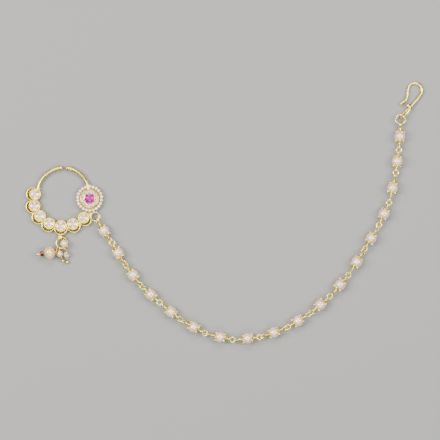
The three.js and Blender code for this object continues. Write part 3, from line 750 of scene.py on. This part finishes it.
def hairHook():
    knots = [(*onHook(x, y), width) for x, y, width in hook['shank']]
    for angle in range(-12, 173, 23):
        x, y = around(hook['arcX'], hook['arcY'], hook['arc'], angle)
        spread = 1 + 0.36 * max(0, cos(radians(angle - 30))) ** 2  # beaten wider at the bend
        knots.append((*onHook(x, y), spread))
    knots += [(*onHook(x, y), width) for x, y, width in hook['point']]
    shank = wireAlong([knot[:3] for knot in knots], hook['wire'], [knot[3] for knot in knots], sides=6)
    tip = placed(ballOf(hook['wire'] / 2, 20), Matrix.Translation(onHook(*hook['point'][-1][:2])))
    neck = onHook(*hook['neck'])
    stub = turned([(0, -0.3), (0.7, -0.3), (0.86, -0.1), (0.93, 0.6), (0.94, 1.4), (0.84, 1.9),
                   (0.5, 2.14), (0, 2.18)], 28)
    tail = Matrix.Rotation(radians(hook['tail']), 4, 'Z')
    placed(stub, turnX, tail, shift(neck.x, neck.y, neck.z + 0.25))
    end = Vector(hook['eyeEnd'])
    along = end - neck
    across = Vector((-along.y, along.x, 0)).normalized() * cos(radians(hook['lean']))
    across.z = sin(radians(hook['lean']))
    rows = [(0, 0), (0.3, 0.75), (0.68, 1), (0.88, 0.85), (1, 0), (0.88, -0.85), (0.68, -1), (0.3, -0.75)]
    course = [neck + along * share + across * side * hook['eyeHalf'] for share, side in rows]
    eye = wireAlong(course, hook['eyeWire'], loop=True, sides=5)
    wraps = []
    for share in (0.06, 0.17):
        wrap = placed(ringOf(0.62, 0.5, 26, 10), turnX)
        wraps.append(placed(wrap, facing(neck + along * share, end)))
    dents = [placed(ballOf(0.34, 12), Matrix.Translation(onHook(x, y) + Vector((0, 0, 0.68))))
             for x, y in hook['dents']]
    whole = fused([shank, tip, stub, eye, *wraps], dents)
    keep(whole, 'hammeredHook', 'hair_hook', ['link'], 45)


def hookRing():
    ring = ringOf(hook['ringRadius'], hook['ringWire'], 48, 16)
    tilt = Matrix.Rotation(-radians(hook['tilt']), 4, 'X')
    keep(placed(ring, tilt, shift(*hook['ring'])), 'hookJumpRing', 'hook_ring', ['link'], 60)


hairHook()
hookRing()
print('hook ready')


# The three drops, from the middle of the ring that carries them

drops = {'x': -73.5, 'y': -13.55, 'ring': 2.48, 'ringWire': 0.65, 'height': 1.6, 'rise': 0.3,
         'highSide': 235, 'wire': 0.5, 'loop': 0.86, 'windingWire': 0.3, 'windingPitch': 0.27}
hang = shift(drops['x'], drops['y'])


def onDropRing(angle, out):
    x, y = around(0, 0, drops['ring'] + out, angle)
    return x, y, drops['height'] + drops['rise'] * cos(radians(angle - drops['highSide']))


def dropRing():
    x, y = around(0, 0, 1, drops['highSide'] + 90)
    lean = Matrix.Rotation(-asin(drops['rise'] / drops['ring']), 4, Vector((x, y, 0)))
    ring = placed(ringOf(drops['ring'], drops['ringWire'], 48, 14), lean, shift(0, 0, drops['height']),
                  hang)
    keep(ring, 'dropJumpRing', 'drop_ring', ['link'], 60)


def dropLoop(angle, out):
    upright = Matrix.Rotation(pi / 2, 4, 'X')
    turn = Matrix.Rotation(radians(angle), 4, 'Z')
    return placed(ringOf(drops['loop'], drops['wire'], 28, 10), upright, turn,
                  shift(*onDropRing(angle, out)))


def windings(start, towards, count, radius=0.3):  # wire wound round the pin below its loop
    made = []
    along = (Vector(towards) - Vector(start)).normalized()
    for i in range(count):
        place = Vector(start) + along * drops['windingPitch'] * i
        made.append(placed(ringOf(radius, drops['windingWire'], 18, 8), turnX, facing(place, towards)))
    return made


def facetedBead(radius, half, hole, sides):  # two rows of flats each side of the waist
    rows = [(hole, -half), (radius * 0.62, -half), (radius * 0.95, -half * 0.45), (radius, 0),
            (radius * 0.95, half * 0.45), (radius * 0.62, half), (hole, half)]
    bead = turned(rows, sides, loop=True)
    for vert in bead.verts:
        if abs(vert.co.z) > half * 0.3 and abs(vert.co.z) < half * 0.9:
            vert.co.rotate(Matrix.Rotation(pi / sides, 4, 'Z'))
    return placed(bead, turnX)


def bigPearlDrop():
    pearlAt, garnetAt, tipAt = (-5.4, -4.45, 2.95), (-8.9, -4.95, 2.9), (-10.55, -5.2, 2.88)
    course = [(-2.4, -2.45, 2.0), (-2.35, -3.3, 2.7), (-2.75, -4.0, 2.98), (-3.7, -4.2, 2.98), pearlAt,
              garnetAt, tipAt]
    cup = turned([(0, -0.1), (0.9, 0.16), (1.05, 0.3), (0.8, 0.42), (0.42, 0.62), (0.3, 0.9), (0, 0.9)], 24)
    placed(cup, turnX, facing((-3.05, -4.1, 2.98), (-2.2, -3.95, 2.98)))
    tip = placed(ballOf(0.8, 24), shift(*tipAt))
    parts = [wireAlong(course, drops['wire'], sides=3), dropLoop(225, 0.1), tip, cup,
             *windings((-9.72, -5.07, 2.89), tipAt, 1, 0.34)]
    keep(placed(fused(parts), hang), 'bigDropPin', 'drop_a_pin', ['drop'], 45)
    ball = placed(drilledPearl(2.93, 2.5, 0.48, 48, 28), facing(pearlAt, garnetAt), hang)
    keep(ball, 'bigDropPearl', 'drop_a_pearl', ['creamPearl'], 50)
    bead = placed(facetedBead(1.25, 0.78, 0.42, 12), facing(garnetAt, tipAt), hang)
    keep(bead, 'garnetBead', 'drop_a_garnet', ['garnet'], 12)


def smallPearlDrop():
    pearlAt, beadAt, tipAt = (-0.95, -5.0, 1.62), (-0.12, -6.95, 1.4), (0.45, -8.1, 1.25)
    foot = (pearlAt[0] + 0.28, pearlAt[1] - 0.96, pearlAt[2] - 0.12)
    crown = turned([(0.32, 1.42), (0.95, 1.28), (1.1, 1.2), (1.0, 1.5), (0.6, 1.75), (0.36, 2.05)], 24,
                   loop=True)
    placed(crown, turnX, Matrix.Rotation(pi, 4, 'Z'), facing(pearlAt, foot))
    course = [(-1.12, -3.15, 1.8), pearlAt, beadAt, tipAt]
    parts = [wireAlong(course, drops['wire'], sides=3), dropLoop(250, 0.1),
             placed(ballOf(0.76, 24), shift(*tipAt)), crown]
    keep(placed(fused(parts), hang), 'smallDropPin', 'drop_b_pin', ['drop'], 45)
    ball = placed(drilledPearl(1.5, 1.5, 0.55, 32, 18), facing(pearlAt, foot), hang)
    keep(ball, 'smallDropPearl', 'drop_b_pearl', ['pearl'], 50)
    bead = placed(facetedBead(0.72, 0.36, 0.4, 12), facing(beadAt, tipAt), hang)
    keep(bead, 'oliveBead', 'drop_b_bead', ['olive'], 12)


def crystalDrop():
    pearlAt, foot, crystalAt = (1.1, -0.3, 3.15), (1.47, -1.96, 3.15), (2.1, -5.2, 1.68)
    stemAt, tipAt = (2.24, -6.9, 1.22), (2.34, -8.75, 0.9)
    course = [(1.35, 1.65, 2.1), (0.95, 1.85, 2.75), (0.73, 1.36, 3.05), pearlAt, foot, (1.85, -3.6, 2.25),
              crystalAt, stemAt, tipAt]
    crown = [placed(part, turnX, facing(pearlAt, foot)) for part in
             [petalCap(1.7, chain['petals'], 38, 20, 0.24), *capGrains(1.7, chain['petals'], 38, 0.3)]]
    parts = [wireAlong(course, drops['wire'], sides=3), dropLoop(50, -0.05), *crown,
             placed(ballOf(0.86, 24), shift(*tipAt)), *windings((1.42, -2.3, 2.95), (1.85, -3.6, 2.25), 3)]
    keep(placed(fused(parts), hang), 'crystalDropPin', 'drop_c_pin', ['drop'], 45)
    ball = placed(drilledPearl(1.7, 1.7, 0.46, 36, 20), facing(pearlAt, foot), hang)
    keep(ball, 'crystalDropPearl', 'drop_c_pearl', ['pearl'], 50)
    bead = placed(facetedBead(1.46, 1.3, 0.46, 10), facing(crystalAt, stemAt), hang)
    keep(bead, 'crystalBead', 'drop_c_crystal', ['crystal'], 12)


dropRing()
bigPearlDrop()
smallPearlDrop()
crystalDrop()
print('drops ready')


# Table, light and camera

studio = {'frame': 0.198, 'lens': 200, 'sensor': 36, 'lookX': -2.34, 'lookY': -3.285,
          'floor': (0.245, 0.242, 0.235), 'air': 0.12, 'airColour': (0.9, 0.95, 1, 1)}


def pearlTable():
    low = min(vert[2] for vert in cadBox)
    top = bmesh.new()
    bmesh.ops.create_grid(top, x_segments=1, y_segments=1, size=3)
    bmesh.ops.translate(top, vec=(0, 0, low - 0.00002), verts=top.verts)
    mesh = bpy.data.meshes.new('table')
    top.to_mesh(mesh)
    top.free()
    table = bpy.data.objects.new('table', mesh)
    bpy.context.scene.collection.objects.link(table)
    material, shader, place = startMaterial('paleTable', {'Specular IOR Level': 0.2})
    grain = place.noise(900, 4)
    colour = grain.blend((*[c * 0.97 for c in studio['floor']], 1), (*studio['floor'], 1))
    feed(shader, colour=colour, rough=0.75 + grain * 0.1)
    mesh.materials.append(material)


def softbox(name, place, size, power, colour=(1, 1, 1)):
    light = bpy.data.lights.new(name, 'AREA')
    light.shape = 'RECTANGLE'
    light.size, light.size_y = size
    light.energy = power
    light.color = colour
    lamp = bpy.data.objects.new(name, light)
    lamp.location = place
    lamp.rotation_euler = (-Vector(place)).to_track_quat('-Z', 'Y').to_euler()
    bpy.context.scene.collection.objects.link(lamp)


def photographersCamera():
    lens = bpy.data.cameras.new('camera')
    lens.lens = studio['lens']
    lens.sensor_width = studio['sensor']
    lens.clip_start, lens.clip_end = 0.01, 50
    camera = bpy.data.objects.new('camera', lens)
    away = studio['frame'] * studio['lens'] / lens.sensor_width
    camera.location = drawing + Vector((studio['lookX'] * mm, studio['lookY'] * mm, away + 0.002))
    bpy.context.scene.collection.objects.link(camera)
    bpy.context.scene.camera = camera


world = bpy.data.worlds.new('air')
world.use_nodes = True
world.node_tree.nodes['Background'].inputs['Color'].default_value = studio['airColour']
world.node_tree.nodes['Background'].inputs['Strength'].default_value = studio['air']
bpy.context.scene.world = world

pearlTable()
softbox('leftBox', (-0.64, 0.1, 0.78), (0.4, 0.6), 15.5, (1, 0.98, 0.94))
softbox('rightBox', (0.64, 0.1, 0.78), (0.36, 0.6), 11.0, (0.98, 0.99, 1))
softbox('backBox', (-0.05, 0.72, 0.8), (0.65, 0.36), 9.0, (1, 0.98, 0.95))
softbox('frontBox', (0.05, -0.68, 0.82), (0.65, 0.36), 5.5)
softbox('topBox', (0, 0.05, 1.3), (0.55, 0.55), 4.8)
photographersCamera()
print('studio ready')
